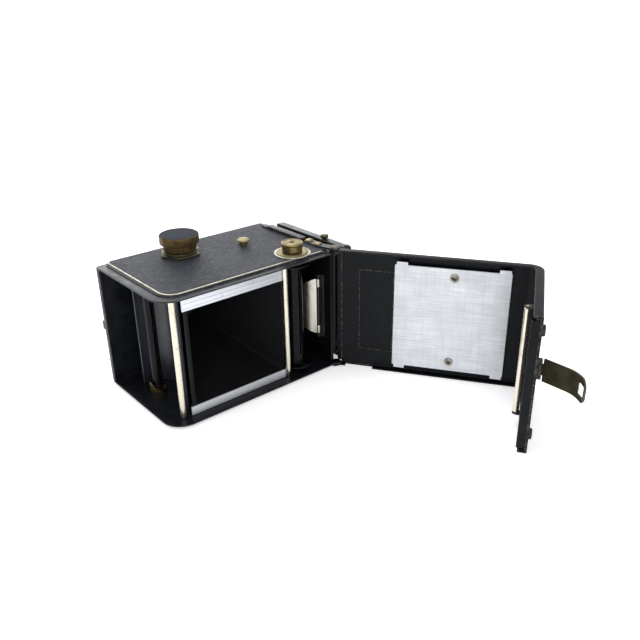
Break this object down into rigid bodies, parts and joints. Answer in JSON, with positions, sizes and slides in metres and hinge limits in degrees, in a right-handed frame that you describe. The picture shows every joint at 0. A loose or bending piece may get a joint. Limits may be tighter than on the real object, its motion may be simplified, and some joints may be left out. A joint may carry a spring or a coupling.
{
  "type": "box camera",
  "caption": "Box-form roll-film camera lying on its side with its L-shaped back open, showing film gate, rollers, spools, knobs and folded reflex finder.",
  "frame": {"origin": "centre of the flat side that the camera lies on, on the lower leather panel", "axes": "+Z from the side it lies on to the knob side; +X from the open end to the door hinge and finder; +Y from the open back to the lenses"},
  "size_m": [0.1784, 0.2381, 0.0872],
  "materials": {
    "black_enamel": "semi-gloss black stoving enamel, rubbed to grey metal on the edges and ledges",
    "inner_black": "satin black inner paint",
    "pebbled_leather": "fine pebbled black leather, greyed with age",
    "nickel_trim": "polished nickel, slightly yellowed",
    "nickel_roller": "smooth bright nickel plate",
    "brushed_rail": "brushed aluminium with fine drawn lines",
    "aged_brass": "brown and green tarnished brass",
    "bright_brass": "pale worn brass",
    "worn_steel": "thin black lacquer worn through to grey and bronze metal",
    "lens_glass": "polished uncoated glass",
    "ground_glass": "fine ground viewing glass",
    "finder_mirror": "silvered finder mirror",
    "foot_rubber": "worn black rubber"
  },
  "bodies": {
    "camera_body": {"side_plate_upper": "black_enamel", "side_plate_lower": "black_enamel", "front_wall": "black_enamel", "hood_base": "black_enamel", "end_wall": "inner_black", "light_box": "inner_black", "supply_chamber_wall": "inner_black", "take_up_chamber_wall": "inner_black", "roll_plate_bracket": "inner_black", "leather_upper": "pebbled_leather", "leather_lower": "pebbled_leather", "trim_upper": "nickel_trim", "trim_lower": "nickel_trim", "wind_washer": "nickel_trim", "arm_rivet_1": "nickel_trim", "arm_rivet_2": "nickel_trim", "hinge_pin_upper": "nickel_trim", "hinge_pin_lower": "nickel_trim", "rail_upper": "brushed_rail", "rail_lower": "brushed_rail", "focus_flange": "aged_brass", "supply_seat": "aged_brass", "wind_flange": "bright_brass", "stay_bar": "worn_steel", "hinge_arm": "worn_steel", "latch_catch": "worn_steel", "hood_pin": "worn_steel", "focusing_screen": "ground_glass", "mirror": "finder_mirror"},
    "door": {"door_shell": "black_enamel", "plate_screw_1": "brushed_rail", "plate_screw_2": "brushed_rail", "flap_roller_bracket": "worn_steel", "foot_1": "foot_rubber", "foot_2": "foot_rubber", "latch_hinge": "worn_steel"},
    "pressure_plate": {"pressure_plate": "brushed_rail"},
    "flap_roller": {"flap_roller": "nickel_roller"},
    "latch_strap": {"latch_strap": "worn_steel"},
    "supply_roller": {"supply_roller": "nickel_roller"},
    "gate_roller": {"gate_roller": "nickel_roller"},
    "supply_spool": {"supply_spool": "inner_black"},
    "take_up": {"take_up_spool": "inner_black", "wind_shaft": "bright_brass", "wind_knob": "bright_brass"},
    "focus_knob": {"focus_knob": "aged_brass", "focus_shaft": "aged_brass"},
    "lens_standard": {"lens_board": "black_enamel", "shutter_housing": "black_enamel", "taking_lens": "lens_glass", "viewing_mount": "black_enamel", "viewing_lens": "lens_glass", "focus_rack": "aged_brass"},
    "shutter_lever": {"shutter_lever": "nickel_trim"},
    "release_button": {"release_button": "bright_brass"},
    "hood_lid": {"hood_lid": "black_enamel", "lid_stud": "aged_brass"},
    "roll_plate": {"roll_plate": "nickel_trim"}
  },
  "joints": [
    {"name": "door_swing", "type": "hinge", "parent": "camera_body", "child": "door", "pos_m": [0.0578, -0.035, 0.03762], "axis": [0, 0, 1], "range_deg": [-123.4, 0]},
    {"name": "plate_press", "type": "slide", "parent": "door", "child": "pressure_plate", "axis": [0.8348, 0.5505, 0], "range_m": [0, 0.001], "stiffness_N_per_m": 400, "springref_m": -0.0005},
    {"name": "flap_roller_spin", "type": "hinge", "parent": "door", "child": "flap_roller", "pos_m": [0.08466, -0.14785, 0.03762], "axis": [0, 0, 1], "continuous": true},
    {"name": "latch_swing", "type": "hinge", "parent": "door", "child": "latch_strap", "pos_m": [0.0836, -0.15897, 0.03762], "axis": [0, 0, 1], "range_deg": [-57, 30]},
    {"name": "supply_roller_spin", "type": "hinge", "parent": "camera_body", "child": "supply_roller", "pos_m": [-0.0466, -0.0287, 0.03762], "axis": [0, 0, 1], "continuous": true},
    {"name": "gate_roller_spin", "type": "hinge", "parent": "camera_body", "child": "gate_roller", "pos_m": [0.0242, -0.03, 0.03762], "axis": [0, 0, 1], "continuous": true},
    {"name": "supply_spool_spin", "type": "hinge", "parent": "camera_body", "child": "supply_spool", "pos_m": [-0.042, 0.007, 0.03762], "axis": [0, 0, 1], "continuous": true},
    {"name": "wind_turn", "type": "hinge", "parent": "camera_body", "child": "take_up", "pos_m": [0.0353, -0.0233, 0.03762], "axis": [0, 0, 1], "continuous": true},
    {"name": "focus_turn", "type": "hinge", "parent": "camera_body", "child": "focus_knob", "pos_m": [-0.0125, 0.0193, 0.07], "axis": [0, 0, 1], "range_deg": [0, 143.3]},
    {"name": "focus_slide", "type": "slide", "parent": "camera_body", "child": "lens_standard", "axis": [0, 1, 0], "range_m": [0, 0.006]},
    {"name": "shutter_release", "type": "hinge", "parent": "lens_standard", "child": "shutter_lever", "pos_m": [-0.0085, 0.0456, 0.03762], "axis": [0, 1, 0], "range_deg": [0, 25], "stiffness_Nm_per_rad": 0.02, "springref_deg": -17.19},
    {"name": "button_press", "type": "slide", "parent": "camera_body", "child": "release_button", "axis": [0, 0, -1], "range_m": [0, 0.002], "stiffness_N_per_m": 200, "springref_m": -0.001},
    {"name": "hood_open", "type": "hinge", "parent": "camera_body", "child": "hood_lid", "pos_m": [0.0668, -0.0346, 0.03762], "axis": [0, 0, -1], "range_deg": [0, 100]},
    {"name": "roll_plate_swing", "type": "hinge", "parent": "camera_body", "child": "roll_plate", "pos_m": [0.0526, -0.025, 0.03762], "axis": [0, 0, 1], "range_deg": [-25, 0], "stiffness_Nm_per_rad": 0.01, "springref_deg": 17.19}
  ],
  "couplings": [
    {"joint": "focus_turn", "follows": "focus_slide", "rad_per_m": 416.67}
  ]
}
